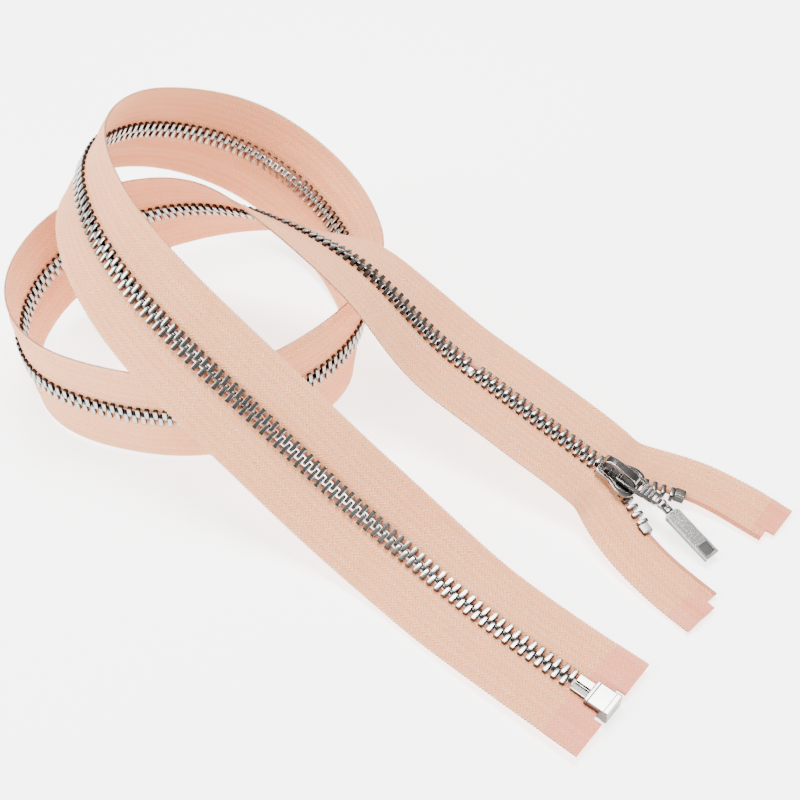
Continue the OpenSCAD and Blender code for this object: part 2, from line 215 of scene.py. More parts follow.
def prism(name, loops, z0, z1, bevel, mat, res=3, curve_pts=None):
    """a flat plate of the given outline, with holes, its edges rounded by bevel"""
    cu = bpy.data.curves.new(name, "CURVE"); cu.dimensions = "2D"; cu.fill_mode = "BOTH"
    for lp in loops:
        sp = cu.splines.new("POLY"); sp.points.add(len(lp) - 1)
        for p, (x, y) in zip(sp.points, lp):
            p.co = (x, y, 0, 1)
        sp.use_cyclic_u = True
    cu.extrude = (z1 - z0) / 2 - bevel; cu.bevel_depth = bevel; cu.bevel_resolution = res; cu.offset = -bevel
    o = bpy.data.objects.new(name, cu); bpy.context.scene.collection.objects.link(o)
    dg = bpy.context.evaluated_depsgraph_get()
    me = bpy.data.meshes.new_from_object(o.evaluated_get(dg))
    bpy.data.objects.remove(o)
    me.transform(Matrix.Translation((0, 0, (z0 + z1) / 2)))
    return me


def smooth_loop(pts, n=4, k=0.5):
    """Catmull-Rom through a closed list of 2D points"""
    P = np.asarray(pts, float); m = len(P); out = []
    for i in range(m):
        a, b, c, d = P[i - 1], P[i], P[(i + 1) % m], P[(i + 2) % m]
        for j in range(n):
            t = j / n
            out.append(0.5 * ((2 * b) + (-a + c) * t + (2 * a - 5 * b + 4 * c - d) * t * t + (-a + 3 * b - 3 * c + d) * t ** 3))
    return [tuple(p) for p in out]


def mir(p):
    return [(x, -y) for x, y in reversed(p)]


def join(name, meshes, mat, M=None, auto=35):
    """one piece from several meshes in millimetres, put in place by the 4x4 M"""
    bm = bmesh.new()
    for me in meshes:
        bm.from_mesh(me)
    bmesh.ops.remove_doubles(bm, verts=bm.verts, dist=1e-4)
    bmesh.ops.recalc_face_normals(bm, faces=bm.faces)
    loc = [v.co.copy() for v in bm.verts]
    if M is not None:
        bm.transform(M)
    bmesh.ops.scale(bm, vec=(0.001,) * 3, verts=bm.verts)
    me = bpy.data.meshes.new(name); bm.to_mesh(me); bm.free()
    a = me.attributes.new("tc", "FLOAT_VECTOR", "POINT")
    a.data.foreach_set("vector", np.array([list(v) for v in loc], np.float32).ravel())
    me.polygons.foreach_set("use_smooth", [True] * len(me.polygons))
    me.materials.append(mat)
    o = bpy.data.objects.new(name, me); bpy.context.scene.collection.objects.link(o)
    sharp_by_angle(o, auto)
    md = o.modifiers.new("weighted", "WEIGHTED_NORMAL"); md.keep_sharp = True; md.weight = 90
    me2 = bpy.data.meshes.new_from_object(o.evaluated_get(bpy.context.evaluated_depsgraph_get()))
    o.modifiers.clear(); o.data = me2
    return o


def solid(verts, faces):
    me = bpy.data.meshes.new("t"); me.from_pydata([tuple(v) for v in verts], [], [tuple(f) for f in faces]); me.update()
    return me


def loft(stations):
    """a closed solid through rings of equal length, fan-capped at both ends"""
    R = [np.asarray(r, float) for r in stations]; m = len(R[0]); V = np.vstack(R); F = []
    for i in range(len(R) - 1):
        for j in range(m):
            k = (j + 1) % m
            F.append((i * m + j, i * m + k, (i + 1) * m + k, (i + 1) * m + j))
    F.append(tuple(range(m))[::-1]); F.append(tuple((len(R) - 1) * m + j for j in range(m)))
    return solid(V, F)


def rrect(hw, hh, r, seg=3):
    """rounded rectangle as a ring of 2D points"""
    out = []
    for cx, cy, a0 in ((hw - r, hh - r, 0), (-hw + r, hh - r, 90), (-hw + r, -hh + r, 180), (hw - r, -hh + r, 270)):
        for j in range(seg + 1):
            a = math.radians(a0 + 90 * j / seg)
            out.append((cx + r * math.cos(a), cy + r * math.sin(a)))
    return out


def bar_along(path, widths, heights, r=0.25, seg=3):
    """a rounded bar along a path in the x-z plane, width in y"""
    P = np.asarray(path, float); T = np.gradient(P, axis=0); T /= np.linalg.norm(T, axis=1, keepdims=True)
    rings = []
    for p, t, w, h in zip(P, T, widths, heights):
        n = np.array([-t[1], t[0]])
        rings.append([(p[0] + n[0] * b, a, p[1] + n[1] * b) for a, b in rrect(w / 2, h / 2, min(r, h / 2 - 0.01), seg)])
    return loft(rings)


def spline2(pts, n):
    """open Catmull-Rom"""
    P = np.asarray(pts, float); P = np.vstack([2 * P[0] - P[1], P, 2 * P[-1] - P[-2]]); out = []
    for i in range(1, len(P) - 2):
        a, b, c, d = P[i - 1:i + 3]
        for j in range(n):
            t = j / n
            out.append(0.5 * ((2 * b) + (-a + c) * t + (2 * a - 5 * b + 4 * c - d) * t * t + (-a + 3 * b - 3 * c + d) * t ** 3))
    out.append(P[-2]); return np.array(out)


def mat4(c, t, w, n):
    return Matrix([[t[0], w[0], n[0], c[0]], [t[1], w[1], n[1], c[1]], [t[2], w[2], n[2], c[2]], [0, 0, 0, 1]])


def at4(side, s):
    c, t, w, n = place(side, s)
    return mat4(c[0], t[0], w[0], n[0])


# ---------------------------------------------------------------- materials
class Nodes:
    def __init__(self, name):
        self.m = bpy.data.materials.new(name); self.m.use_nodes = True
        self.t = self.m.node_tree; self.t.nodes.clear()
        self.out = self.t.nodes.new("ShaderNodeOutputMaterial")

    def n(self, kind, **kw):
        x = self.t.nodes.new("ShaderNode" + kind)
        for k, v in kw.items():
            setattr(x, k, v)
        return x

    def link(self, a, b):
        self.t.links.new(a, b)

    def math(self, op, a, b=None, c=None):
        x = self.n("Math", operation=op)
        for i, v in enumerate((a, b, c)):
            if v is None:
                continue
            if isinstance(v, (int, float)):
                x.inputs[i].default_value = v
            else:
                self.link(v, x.inputs[i])
        return x.outputs[0]

    def ramp(self, fac, stops):
        x = self.n("ValToRGB"); e = x.color_ramp.elements
        while len(e) < len(stops):
            e.new(0.5)
        for q, (p, c) in zip(e, stops):
            q.position = p; q.color = (*c, 1)
        self.link(fac, x.inputs[0]); return x.outputs[0]

    def mix(self, f, a, b, mode="MIX"):
        x = self.n("Mix", data_type="RGBA", blend_type=mode)
        for i, v in ((0, f), (6, a), (7, b)):
            if isinstance(v, (int, float)):
                x.inputs[i].default_value = v
            elif isinstance(v, tuple):
                x.inputs[i].default_value = (*v, 1)
            else:
                self.link(v, x.inputs[i])
        return x.outputs[2]

    def noise(self, vec, scale, detail=2.0, rough=0.5):
        x = self.n("TexNoise"); x.inputs["Scale"].default_value = scale; x.inputs["Detail"].default_value = detail
        x.inputs["Roughness"].default_value = rough
        if vec is not None:
            self.link(vec, x.inputs["Vector"])
        return x.outputs["Fac"]


def srgb(r, g, b):
    f = lambda c: c / 12.92 if c <= 0.04045 else ((c + 0.055) / 1.055) ** 2.4
    return (f(r / 255), f(g / 255), f(b / 255))


def tape_material(name, light, mid, dark, glow, rough=0.8, film=False, cord=False):
    q = Nodes(name)
    at = q.n("Attribute", attribute_name="tc"); sep = q.n("SeparateXYZ"); q.link(at.outputs["Vector"], sep.inputs[0])
    s, w = sep.outputs[0], sep.outputs[1]
    wob = q.noise(at.outputs["Vector"], 0.35, 2.0)
    s2 = q.math("ADD", s, q.math("MULTIPLY", wob, 1.6))
    s2 = q.math("ADD", s2, q.math("MULTIPLY", q.noise(at.outputs["Vector"], 1.3, 2.0), 0.9))
    if cord:
        # stitches wrapped over the cord
        ph = q.math("ADD", q.math("DIVIDE", s, 0.62), q.math("DIVIDE", w, 1.3))
        weave = q.math("SINE", q.math("MULTIPLY", ph, 2 * math.pi))
    else:
        # herringbone: the twill line turns back at every band
        tri = q.math("PINGPONG", w, 1.05)
        ph = q.math("ADD", q.math("DIVIDE", s2, 1.05), q.math("DIVIDE", tri, 0.85))
        weave = q.math("SINE", q.math("MULTIPLY", ph, 2 * math.pi))
    yarn = q.math("SINE", q.math("MULTIPLY", w, 2 * math.pi / 0.42))
    rib = q.math("COSINE", q.math("MULTIPLY", w, 2 * math.pi / 2.1))
    fine = q.noise(at.outputs["Vector"], 3.2, 3.0, 0.6)
    v = q.math("ADD", q.math("MULTIPLY", weave, 0.62), q.math("MULTIPLY", yarn, 0.14))
    v = q.math("ADD", v, q.math("MULTIPLY", q.math("SUBTRACT", fine, 0.5), 0.9))
    v = q.math("ADD", v, q.math("MULTIPLY", rib, 0.16))
    fac = q.math("ADD", q.math("MULTIPLY", v, 0.5), 0.5)
    col = q.ramp(fac, [(0.0, dark), (0.5, mid), (1.0, light)])
    big = q.noise(at.outputs["Vector"], 0.07, 3.0, 0.55)
    col = q.mix(q.math("MULTIPLY", q.math("SUBTRACT", big, 0.35), 0.55), col, tuple(a * b for a, b in zip(mid, (0.97, 0.86, 0.82))))
    # long shallow streaks of painted shade, where the cloth has been creased lengthwise
    mp = q.n("Mapping"); mp.inputs["Scale"].default_value = (0.018, 0.42, 1.0); q.link(at.outputs["Vector"], mp.inputs["Vector"])
    crease_shade = q.n("MapRange"); crease_shade.inputs["From Min"].default_value = 0.45; crease_shade.inputs["From Max"].default_value = 0.72
    q.link(q.noise(mp.outputs[0], 1.0, 3.0, 0.55), crease_shade.inputs["Value"])
    col = q.mix(q.math("MULTIPLY", crease_shade.outputs[0], 0.42), col, tuple(a * b for a, b in zip(mid, (0.90, 0.74, 0.66))))
    # lighter loops along the outer edge
    edge = q.math("SMOOTH_MIN", q.math("MAXIMUM", q.math("SUBTRACT", q.math("MODULO", w, 40.0), 15.1), 0.0), 0.6, 0.1)
    col = q.mix(q.math("MULTIPLY", edge, 0.5), col, light)
    p = q.n("BsdfPrincipled")
    q.link(col, p.inputs["Base Color"])
    p.inputs["Roughness"].default_value = 0.42 if film else rough
    p.inputs["Specular IOR Level"].default_value = 0.35 if film else 0.2
    if not film:
        p.inputs["Sheen Weight"].default_value = 0.25
        p.inputs["Sheen Roughness"].default_value = 0.45
        p.inputs["Sheen Tint"].default_value = (1.0, 0.93, 0.88, 1)
    b = q.n("Bump"); b.inputs["Strength"].default_value = 0.3 if film else 0.9; b.inputs["Distance"].default_value = 0.00016
    q.link(v, b.inputs["Height"]); q.link(b.outputs[0], p.inputs["Normal"])
    tr = q.n("BsdfTranslucent"); tr.inputs["Color"].default_value = (*glow, 1)
    mx = q.n("MixShader"); mx.inputs[0].default_value = 0.18
    q.link(p.outputs[0], mx.inputs[1]); q.link(tr.outputs[0], mx.inputs[2])
    q.link(mx.outputs[0], q.out.inputs["Surface"])
    return q.m


def metal(name, base, dirt_and_shade, rough, brushed=None, scale=1.0, var=0.06, element=False, side=None):
    q = Nodes(name)
    at = q.n("Attribute", attribute_name="tc")
    big = q.noise(at.outputs["Vector"], 0.5 * scale, 3.0)
    spots = q.noise(at.outputs["Vector"], 5.0 * scale, 4.0, 0.65)
    col = q.mix(q.math("MULTIPLY", q.math("SUBTRACT", big, 0.25), 0.5), base, dirt_and_shade)
    dark = q.math("MULTIPLY", q.math("GREATER_THAN", spots, 0.66), 0.35)
    col = q.mix(dark, col, tuple(c * 0.55 for c in dirt_and_shade))
    if side:
        # painted shade: the flanks are coloured duller and darker than the top and bottom faces
        ts = q.n("SeparateXYZ"); q.link(at.outputs["Vector"], ts.inputs[0])
        up = q.n("MapRange"); up.inputs["From Min"].default_value = side[0]; up.inputs["From Max"].default_value = side[1]
        q.link(q.math("ABSOLUTE", ts.outputs[2]), up.inputs["Value"])
        col = q.mix(up.outputs[0], tuple(c * 0.32 for c in dirt_and_shade), col)
    if element:
        # painted shade low down between the elements, round the ends of their legs and at the tips of their heads
        lc = q.n("Attribute", attribute_name="lc"); ls = q.n("SeparateXYZ"); q.link(lc.outputs["Vector"], ls.inputs[0])
        high = q.n("MapRange"); high.inputs["From Min"].default_value = 0.75; high.inputs["From Max"].default_value = 1.32
        q.link(q.math("ABSOLUTE", ls.outputs[2]), high.inputs["Value"])
        leg = q.n("MapRange"); leg.inputs["From Min"].default_value = 2.35; leg.inputs["From Max"].default_value = 2.68
        q.link(ls.outputs[1], leg.inputs["Value"])
        tip = q.n("MapRange"); tip.inputs["From Min"].default_value = 0.15; tip.inputs["From Max"].default_value = -0.55
        q.link(ls.outputs[1], tip.inputs["Value"])
        keep = q.math("MULTIPLY", high.outputs[0], q.math("SUBTRACT", 1.0, q.math("MULTIPLY", leg.outputs[0], 0.8)))
        keep = q.math("MULTIPLY", keep, q.math("SUBTRACT", 1.0, q.math("MULTIPLY", tip.outputs[0], 0.72)))
        col = q.mix(keep, tuple(c * 0.18 for c in dirt_and_shade), col)
    p = q.n("BsdfPrincipled"); p.inputs["Metallic"].default_value = 1.0
    q.link(col, p.inputs["Base Color"])
    if brushed:
        mp = q.n("Mapping"); mp.inputs["Scale"].default_value = brushed; q.link(at.outputs["Vector"], mp.inputs["Vector"])
        h = q.noise(mp.outputs[0], 4.0, 3.0, 0.7)
        amount = 0.35
    else:
        h = q.noise(at.outputs["Vector"], 2.2 * scale, 4.0, 0.6)
        amount = 0.10
    r = q.math("ADD", rough - var, q.math("MULTIPLY", h, 2 * var))
    q.link(r, p.inputs["Roughness"])
    b = q.n("Bump"); b.inputs["Strength"].default_value = amount; b.inputs["Distance"].default_value = 0.00006
    q.link(h, b.inputs["Height"]); q.link(b.outputs[0], p.inputs["Normal"])
    q.link(p.outputs[0], q.out.inputs["Surface"])
    return q.m


PEACH_L, PEACH_M, PEACH_D = srgb(255, 216, 174), srgb(255, 186, 134), srgb(226, 130, 82)
M_TAPE = tape_material("tape_weave", PEACH_L, PEACH_M, PEACH_D, srgb(255, 170, 100))
M_CORD = tape_material("tape_cord", srgb(246, 180, 146), srgb(228, 146, 112), srgb(160, 84, 58), srgb(250, 150, 90), cord=True)
M_FILM = tape_material("film_over_tape", srgb(250, 172, 138), srgb(244, 150, 114), srgb(216, 116, 82), srgb(250, 140, 96), film=True)
# element=True paints shade on the elements' flanks, leg ends and head tips, where they crowd together
M_TEETH = metal("teeth_nickel", (0.36, 0.342, 0.318), (0.19, 0.18, 0.165), 0.22, scale=0.6, var=0.05, element=True)
M_RIB_HIGHLIGHT = metal("rib_nickel_painted_highlight", (0.50, 0.485, 0.465), (0.32, 0.31, 0.29), 0.26, scale=0.8)
# side=(a, b): painted shade on the flanks of box, pins, stops and bar face, below |z| = a
M_BOX = metal("box_nickel", (0.44, 0.43, 0.41), (0.28, 0.27, 0.255), 0.27, scale=0.8, side=(1.35, 2.0))
M_PIN = metal("pin_nickel", (0.44, 0.43, 0.41), (0.28, 0.27, 0.255), 0.26, scale=0.9, side=(0.8, 1.25))
M_STOP = metal("stop_nickel", (0.20, 0.19, 0.175), (0.11, 0.105, 0.095), 0.24, scale=1.2, side=(0.85, 1.5))
# painted shade: a dark copy of the bar metal for the bar's body, seen on its flanks, and its lug
M_BAR_BODY_SHADE = metal("bar_edge_painted_shade", (0.16, 0.155, 0.147), (0.08, 0.078, 0.072), 0.24, scale=1.0)
M_CHANNEL_SHADE = metal("pin_channel_painted_shade", (0.09, 0.088, 0.083), (0.045, 0.044, 0.04), 0.30, scale=1.5)
M_SLIDER = metal("slider_nickel", (0.36, 0.345, 0.33), (0.16, 0.155, 0.148), 0.13, scale=0.7)
M_LINK = metal("link_nickel", (0.36, 0.345, 0.33), (0.17, 0.165, 0.155), 0.17, scale=0.8)
M_BAR = metal("bar_brushed", (0.86, 0.85, 0.83), (0.68, 0.67, 0.65), 0.24, brushed=(0.6, 6, 6), scale=0.8, side=(0.40, 0.70))
# painted shade: a dark metal standing for the shade in the box's end slot and the bar's recess
M_RECESS_SHADE = metal("bar_recess_painted_shade", (0.16, 0.155, 0.15), (0.08, 0.08, 0.08), 0.38)
M_SPRING = metal("spring_steel", (0.45, 0.44, 0.42), (0.3, 0.29, 0.28), 0.3)

# ---------------------------------------------------------------- tapes
WS = np.unique(np.concatenate([[1.12, 1.6, 2.1, 2.45, 2.75, 3.1, 3.5, 4.0, 4.5, 5.0, NOTCH_W, 5.6, 6.1], np.linspace(6.7, 14.8, 13), [15.3, 15.6, TAPE_W]]))
SPAN0, SPAN1 = -TOP_LEN, CHAIN_END
_ns = int((SPAN1 - SPAN0) / 3) + 8
_wave = {(sd, k): noise1(_ns * 3, sc, 11 * k + sd + 2) for sd in (1, -1) for k, sc in ((0, 24), (1, 9), (2, 14))}


def wave(side, k, s):
    x = (s - SPAN0) ; i = np.clip(x.astype(int), 0, _ns * 3 - 2); f = x - i
    a = _wave[(side, k)]
    return a[i] * (1 - f) + a[i + 1] * f


def relief(side):
    """how far the cloth's middle stands out of the flat, in millimetres"""
    def f(S, W):
        x = np.clip((W - 3.0) / 12.8, 0, 1)
        y = 0.34 * wave(side, 0, S) * x * x + 0.16 * wave(side, 1, S) * np.sin(x * math.pi) + 0.12 * wave(side, 2, S) * np.sin(2.2 * math.pi * x)
        y += 0.13 * np.cos(3.3 * math.pi * x + 0.8 * wave(side, 0, S)) * ramp(x, 0.05, 0.3)
        y += 0.05 * np.cos(2 * math.pi * (S - (0.5 if side > 0 else 1.75)) / PITCH) * np.exp(-np.clip(W - 2.9, 0, 9) / 1.1) * (W > 2.6)
        # the ends, cut and handled, curl more; the slider gathers the cloth beside it
        loose = ramp(-S, 6, 30)
        y += loose * x * (0.35 * wave(side, 1, S) + 0.12)
        gather = np.exp(-((S - 1) / 9.0) ** 2)
        y += -gather * 0.7 * np.sin(x * math.pi) + 0.35 * np.exp(-((S - 14) / 8.0) ** 2) * x
        return y
    return f


def thick(S, W):
    """half thickness: a firm band by the chain, a channel, then the flat web and a firm edge"""
    t = np.full_like(W, 0.25)
    t += 0.05 * np.exp(-((W - 4.0) / 0.8) ** 2) - 0.06 * np.exp(-((W - 5.6) / 0.35) ** 2)
    t += 0.04 * np.exp(-((W - 15.5) / 0.35) ** 2) - 0.05 * np.exp(-((W - 14.5) / 0.3) ** 2)
    t += 0.025 * np.cos(2 * math.pi * W / 2.44) * (W > 6) * (W < 14)
    return t


STEP = 0.45
def stations(a, b, extra=()):
    n = int(round((b - a) / STEP)); x = np.linspace(a, b, n + 1)
    for e in extra:
        x[np.abs(x - e).argmin()] = e
    return x


def tape(name, side, a, b, lo_cut, hi_cut):
    rl = relief(side)
    extra = ([a + NOTCH_L] if lo_cut else []) + ([b - NOTCH_L] if hi_cut else [])
    keep = lambda S, W: ~((W < NOTCH_W) & ((lo_cut & (S < a + NOTCH_L)) | (hi_cut & (S > b - NOTCH_L))))
    return slab(name, side, stations(a, b, extra), WS, lambda S, W: rl(S, W) + thick(S, W), lambda S, W: rl(S, W) - thick(S, W), keep, M_TAPE)


def film(name, side, a, b, lo_cut, hi_cut, sign):
    rl = relief(side); ws = WS[(WS >= 3.1)]
    extra = ([a + NOTCH_L] if lo_cut else []) + ([b - NOTCH_L] if hi_cut else [])
    keep = lambda S, W: ~((W < NOTCH_W) & ((lo_cut & (S < a + NOTCH_L)) | (hi_cut & (S > b - NOTCH_L))))
    lo = lambda S, W: rl(S, W) + sign * (thick(S, W) - 0.02)
    hi = lambda S, W: rl(S, W) + sign * (thick(S, W) + 0.07)
    return slab(name, side, stations(a, b, extra), ws, hi if sign > 0 else lo, lo if sign > 0 else hi, keep, M_FILM)


def cord(name, side, a, b):
    """the corded bead on the inner edge, wrapped by its stitches"""
    ss = stations(a, b); c, t, w, n = place(side, ss); m = 12; V, C = [], []
    rl = relief(side)
    base = rl(ss, np.full_like(ss, 2.5))
    for j in range(m):
        ang = 2 * math.pi * j / m
        wob = 1 + 0.10 * np.sin(2 * math.pi * (ss / 1.25) + ang * 1.0)
        ww, nn = 1.73 + 0.66 * math.cos(ang) * wob, 0.53 * math.sin(ang) * wob + base
        V.append(c + side * ww[:, None] * w + nn[:, None] * n)
        C.append(np.stack([ss, np.full_like(ss, j * 2.6 / m), np.full_like(ss, side)], 1))
    V, C = np.stack(V, 1).reshape(-1, 3), np.stack(C, 1).reshape(-1, 3)
    F = [(i * m + j, i * m + (j + 1) % m, (i + 1) * m + (j + 1) % m, (i + 1) * m + j) for i in range(len(ss) - 1) for j in range(m)]
    F += [tuple(range(m))[::-1], tuple((len(ss) - 1) * m + j for j in range(m))]
    if side < 0:
        F = [f[::-1] for f in F]
    return add_mesh(name, V, F, M_CORD, attrs={"tc": C})


# ---------------------------------------------------------------- elements
def tooth_rings():
    """rings along the element from the end of its legs to the tip of its head: w, half length along the chain, half height"""
    rows = [(2.80, 0.50, 1.12), (2.77, 0.565, 1.27), (2.70, 0.60, 1.36), (2.4, 0.61, 1.39), (1.2, 0.61, 1.39), (0.75, 0.60, 1.39), (0.30, 0.56, 1.37),
            (-0.10, 0.54, 1.33), (-0.42, 0.52, 1.24), (-0.64, 0.46, 1.06), (-0.76, 0.33, 0.80)]
    rings = []
    for w, hs, hn in rows:
        rings.append([(x, w, y) for x, y in rrect(hs, hn, min(0.10, hs - 0.02), 2)])
    return rings


def tooth_mesh():
    R = tooth_rings(); m = len(R[0]); V = [p for r in R for p in r]; F = []
    for i in range(len(R) - 1):
        for j in range(m):
            k = (j + 1) % m
            F.append((i * m + j, i * m + k, (i + 1) * m + k, (i + 1) * m + j))
    F.append(tuple(range(m))[::-1]); F.append(tuple((len(R) - 1) * m + j for j in range(m)))
    return np.array(V, float), F


TOOTH_V, TOOTH_F = tooth_mesh()


def row_of(side, a, b):
    k = 0.5 if side > 0 else 0.5 + PITCH / 2
    return np.array([k + i * PITCH for i in range(math.ceil((a - k) / PITCH), math.floor((b - k) / PITCH) + 1)])


def teeth(name, side, ss):
    c, t, w, n = place(side, ss); V, F, C = [], [], []
    r = np.random.default_rng(31 + side)
    for i in range(len(ss)):
        v = TOOTH_V.copy()
        a = r.normal(0, 0.018); v[:, [0, 1]] = v[:, [0, 1]] @ np.array([[math.cos(a), math.sin(a)], [-math.sin(a), math.cos(a)]])
        b = r.normal(0, 0.018); v[:, [0, 2]] = v[:, [0, 2]] @ np.array([[math.cos(b), math.sin(b)], [-math.sin(b), math.cos(b)]])
        V.append(c[i] + v[:, :1] * t[i] + side * v[:, 1:2] * w[i] + v[:, 2:] * n[i])
        C.append(TOOTH_V + [ss[i] * 3.1, r.uniform(0, 60), r.uniform(0, 60)])
        o = i * len(v)
        F += [tuple(o + k for k in (f[::-1] if side > 0 else f)) for f in TOOTH_F]
    return add_mesh(name, np.vstack(V), F, M_TEETH, attrs={"tc": np.vstack(C), "lc": np.tile(TOOTH_V, (len(ss), 1))}, auto=32)


LAST_TOOTH = CHAIN_END - BOX_L - PIN_L + 0.2
made = {}
for side, sd in ((1, "left"), (-1, "right")):
    end = sd + "_top_end"
    # coil: rides on the closed chain
    tp = tape(sd + "_tape_coil", side, RUN_END, CHAIN_END, False, True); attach(tp, "closed_chain"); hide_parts(sd + "_tape")
    cd = cord(sd + "_cord_coil", side, RUN_END, CHAIN_END - NOTCH_L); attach(cd, "closed_chain")
    th = teeth(sd + "_elements_coil", side, row_of(side, RUN_END, LAST_TOOTH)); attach(th, "closed_chain"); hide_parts(sd + "_teeth")
    # run and top end: bend between the closed chain and the loose end
    te = tape(sd + "_tape_end", side, -TOP_LEN, RUN_END, True, False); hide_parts(sd + "_tape_run", sd + "_tape_top")
    ce = cord(sd + "_cord_end", side, -TOP_LEN + NOTCH_L, RUN_END)
    he = teeth(sd + "_elements_end", side, row_of(side, STOP_S[side] + 1.6, RUN_END - 0.6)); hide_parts(sd + "_teeth_run", sd + "_teeth_top")
    for o in (te, ce, he):
        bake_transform(o)
    for nm, a, b, lo, hi, body, node in ((sd + "_film_at_box", CHAIN_END - (9.2 if side > 0 else 10.0), CHAIN_END, False, True, "closed_chain", sd + "_film_box"),
                                         (sd + "_film_at_top", -TOP_LEN, -TOP_LEN + (6.8 if side > 0 else 6.0), True, False, end, sd + "_film_top")):
        f = film(nm, side, a, b, lo, hi, 1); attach(f, body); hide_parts(node)
        g = film(nm + "_back", side, a, b, lo, hi, -1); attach(g, body)

# ---------------------------------------------------------------- top stops
for side, sd in ((1, "left"), (-1, "right")):
    rings = []
    for x, k in ((-1.5, 0.82), (-1.38, 0.95), (-1.2, 1.0), (1.2, 1.0), (1.38, 0.95), (1.5, 0.82)):
        rings.append([(x, 1.65 + a, b) for a, b in rrect(1.5 * k, 1.55 * k, 0.5 * k, 3)])
    me = loft(rings)
    if side < 0:
        me.transform(Matrix.Scale(-1, 4, (0, 1, 0)))
    o = join(sd + "_top_stop", [me], M_STOP, at4(side, STOP_S[side]), 25)
    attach(o, sd + "_top_end"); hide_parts(sd + "_stop")

# ---------------------------------------------------------------- box and pins
mb = at4(1, CHAIN_END)
rings = []
for x, k, h in ((-6.8, 0.90, 0.90), (-6.65, 0.97, 0.97), (-6.4, 1.0, 1.0), (-5.9, 1.0, 1.0), (-5.6, 0.985, 0.93), (-1.3, 0.985, 0.93), (-1.05, 1.0, 1.0), (-0.1, 1.0, 1.0), (0.1, 0.97, 0.97), (0.2, 0.90, 0.88)):
    rings.append([(x, a, b) for a, b in rrect(3.55 * k, 2.18 * h, 0.62, 4)])
parts = [loft(rings)]
# painted shade: a thin dark plate at the box's end stands for the shaded slot opening
parts.append(loft([[(x, a, 0.75 + b) for a, b in rrect(0.95 * k, 0.42 * k, 0.1, 2)] for x, k in ((0.12, 1.0), (0.215, 1.0))]))
box_o = join("box_block", [parts[0]], M_BOX, mb, 22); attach(box_o, "closed_chain"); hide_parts("box")
slot_shade_o = join("box_end_slot_painted_shade", [parts[1]], M_RECESS_SHADE, mb, 30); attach(slot_shade_o, "closed_chain")
pin_s = CHAIN_END - BOX_L - PIN_L + 1.3
for side, nm in ((1, "insertion_pin"), (-1, "retainer_pin")):
    low = 0.70 if side < 0 else 1.0
    rings = []
    for x, k in ((0.0, 0.80), (0.12, 0.95), (0.3, 1.0), (8.6, 1.0), (8.8, 0.9)):
        rings.append([(x, 1.34 + a, b) for a, b in rrect(1.16 * k, 1.38 * k * low, 0.28, 3)])
    me = [loft(rings)]
    lips = []
    if side < 0:
        # the retainer pin is a folded channel with a bright lip along each edge; its solid body is painted near-black
        # as the shade inside the fold
        for w0, hw in ((2.36, 0.15), (0.30, 0.12)):
            for z in (1.08, -1.08):
                lips.append(loft([[(x, w0 + a, z + b) for a, b in rrect(hw * k, 0.30 * k, 0.08, 2)] for x, k in ((0.1, 0.8), (0.25, 1.0), (8.5, 1.0), (8.7, 0.85))]))
        for m_ in me + lips:
            m_.transform(Matrix.Scale(-1, 4, (0, 1, 0)))
    o = join(nm + "_bar", me, M_CHANNEL_SHADE if side < 0 else M_PIN, at4(side, pin_s), 25)
    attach(o, "closed_chain"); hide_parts(nm)
    if lips:
        o = join(nm + "_lips", lips, M_PIN, at4(side, pin_s), 25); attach(o, "closed_chain")

# ---------------------------------------------------------------- slider
SL = mat4(RUN_O + ORIGIN, RUN_D, np.array([-RUN_D[1], RUN_D[0], 0]) / math.hypot(RUN_D[0], RUN_D[1]), np.cross(RUN_D, np.array([-RUN_D[1], RUN_D[0], 0]) / math.hypot(RUN_D[0], RUN_D[1])))
half = [(6.0, 0.0), (5.95, 2.2), (5.5, 3.45), (3.8, 3.75), (2.0, 3.8), (0.6, 4.1), (-0.9, 4.75), (-2.3, 5.25), (-3.6, 5.4), (-4.9, 5.15), (-5.9, 4.45), (-6.45, 3.2), (-6.55, 1.2)]
outline = smooth_loop(half + mir(half[1:]), 3)
inner = [(x * 0.86, y * 0.80) for x, y in outline]
pl_top = prism("t", [outline], 1.85, 2.47, 0.2, None)
rim_top = prism("t", [outline, inner], 2.2, 2.62, 0.16, None)
pad_top = prism("t", [[(x * 0.83, y * 0.76) for x, y in outline]], 2.2, 2.5, 0.1, None)
pl_bot = prism("t", [outline], -2.55, -1.85, 0.22, None)
bot_pad = prism("t", [[(x * 0.7, y * 0.7) for x, y in outline]], -2.58, -2.3, 0.1, None)
rim_2d = [(5.6, 3.05), (5.5, 3.65), (2, 3.75), (-0.6, 4.6), (-3.2, 5.4), (-3.5, 4.95), (-1.4, 4.15), (0.6, 3.5), (3, 3.05)]
rims = []
for sg in (1, -1):
    lp = [(x, sg * y) for x, y in (rim_2d if sg > 0 else rim_2d[::-1])]
    rims += [prism("t", [lp], 0.8, 2.0, 0.1, None), prism("t", [lp], -2.0, -0.8, 0.1, None)]
wedge = prism("t", [[(-3.3, 0), (-5.2, 0.5), (-6.2, 0.65), (-6.5, 0.55), (-6.5, -0.55), (-6.2, -0.65), (-5.2, -0.5)][::-1]], -1.95, 1.95, 0.05, None)
o = join("slider_shell", [pl_top, rim_top, pad_top, pl_bot, bot_pad, wedge] + rims, M_SLIDER, SL, 20)
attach(o, "slider"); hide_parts("slider_body")
path = spline2([(5.25, 2.3), (5.15, 3.6), (4.75, 4.7), (3.9, 5.4), (2.4, 5.68), (0, 5.74), (-2.4, 5.7), (-4.0, 5.45), (-5.1, 4.75), (-5.6, 3.7), (-5.75, 2.3)], 5)
u = np.linspace(0, 1, len(path)); wd = 2.35 + 0.35 * np.sin(math.pi * u) ** 0.6; ht = 0.82 + 0.12 * np.sin(math.pi * u)
